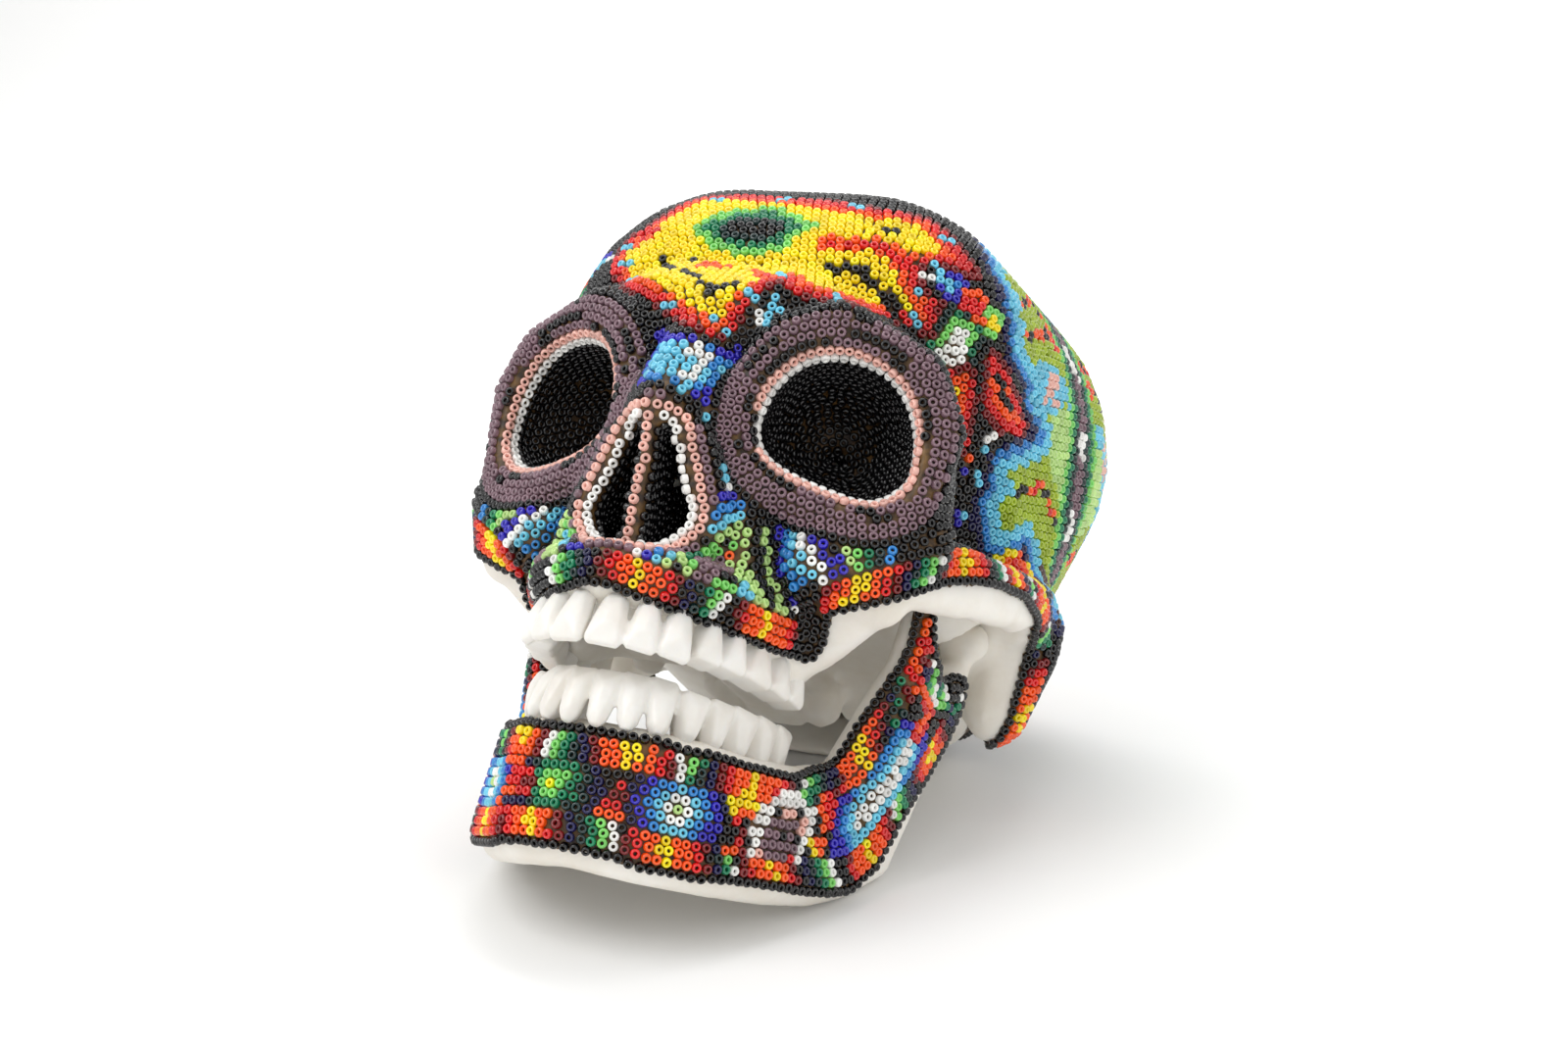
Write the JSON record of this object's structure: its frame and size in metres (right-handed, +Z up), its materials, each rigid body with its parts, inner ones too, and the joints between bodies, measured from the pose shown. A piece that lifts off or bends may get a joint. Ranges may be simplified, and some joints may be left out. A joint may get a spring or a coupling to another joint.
{
  "type": "beaded skull sculpture",
  "caption": "Skull sculpture leaning back to rest on the back of its head and jaw angles, open-mouthed, hinged jaw, covered in small glass beads over cast resin.",
  "frame": {"origin": "on the table under the middle of the bounding box, in the resting pose", "axes": "+Z up, -Y the way the face points, +X to the skull's own left"},
  "size_m": [0.135, 0.2106, 0.149],
  "materials": {
    "resin": "smooth matt cast polyester resin, warm white",
    "tooth_resin": "satin cast resin, white",
    "pin_steel": "ground",
    "bush_brass": "turned",
    "yellow_red_beads": "opaque glossy glass beads in wax",
    "blue_beads": "opaque glossy glass beads in wax",
    "green_beads": "opaque glossy glass beads in wax",
    "mauve_beads": "opaque glossy glass beads in wax",
    "black_beads": "opaque glossy black glass beads in wax",
    "pink_beads": "opaque glossy glass beads in wax",
    "red_beads": "opaque glossy glass beads in wax"
  },
  "bodies": {
    "cranium": {"cranium_casting": "resin", "upper_teeth": "tooth_resin", "hinge_pin_left": "pin_steel", "hinge_pin_right": "pin_steel", "forehead_beadwork": "yellow_red_beads", "crown_beadwork": "blue_beads", "back_beadwork": "green_beads", "side_beadwork_left": "green_beads", "side_beadwork_right": "green_beads", "socket_collar_left": "mauve_beads", "socket_collar_right": "mauve_beads", "socket_lining_left": "black_beads", "socket_lining_right": "black_beads", "nose_rim_beadwork": "pink_beads", "nose_lining": "black_beads", "nose_bridge_beadwork": "blue_beads", "cheek_beadwork_left": "green_beads", "cheek_beadwork_right": "green_beads", "upper_lip_band": "red_beads", "arch_band_left": "red_beads", "arch_band_right": "red_beads"},
    "jaw": {"jaw_casting": "resin", "lower_teeth": "tooth_resin", "hinge_bush_left": "bush_brass", "hinge_bush_right": "bush_brass", "jaw_front_beadwork": "red_beads", "jaw_side_beadwork_left": "red_beads", "jaw_side_beadwork_right": "red_beads"}
  },
  "joints": [
    {"name": "jaw_hinge", "type": "hinge", "parent": "cranium", "child": "jaw", "pos_m": [0, 0.00941, 0.04483], "axis": [1, 0, 0], "range_deg": [-3, 11]}
  ]
}
